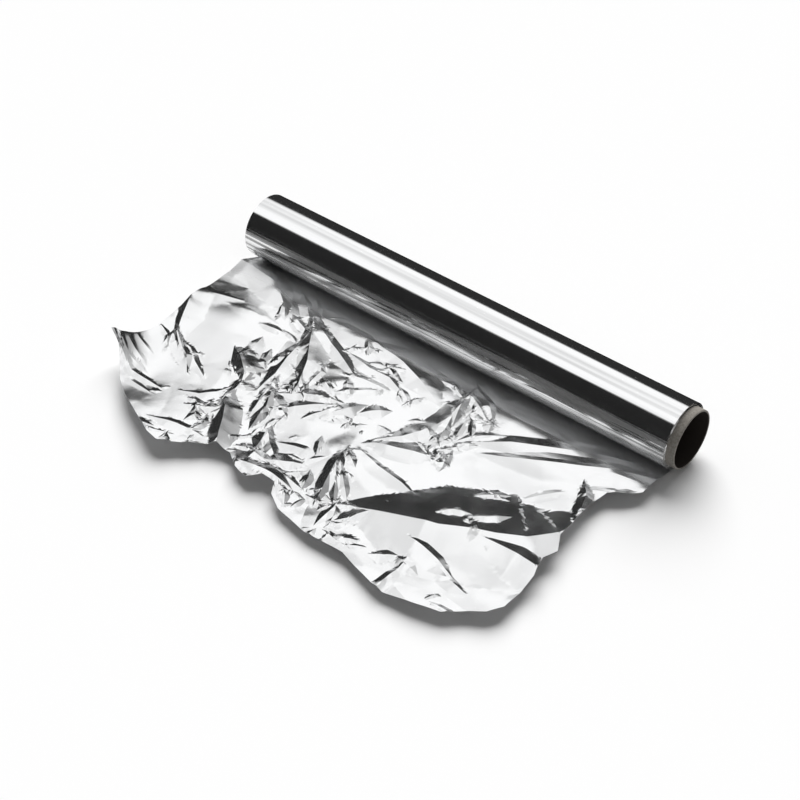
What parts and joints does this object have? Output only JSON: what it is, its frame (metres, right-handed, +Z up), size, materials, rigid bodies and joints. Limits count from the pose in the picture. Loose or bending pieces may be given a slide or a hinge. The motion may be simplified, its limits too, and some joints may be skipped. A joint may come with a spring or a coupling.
{
  "type": "aluminium foil roll",
  "caption": "Roll of kitchen aluminium foil on a cardboard core, lying down with a crumpled length pulled out from under it.",
  "frame": {"origin": "on the axis of the roll's core, half way along the width of the foil", "axes": "+X along the roll's axis towards the end where the core stands out, the loose sheet spreads towards -Y, +Z up from the table"},
  "size_m": [0.3054, 0.1987, 0.0394],
  "materials": {
    "foil": "bright rolled foil, mirror-like on the roll and satin where it is crumpled",
    "core": "uncoated spiral-wound grey-brown board"
  },
  "bodies": {
    "root": {"core_tube": "core", "foil": "foil"}
  },
  "joints": []
}
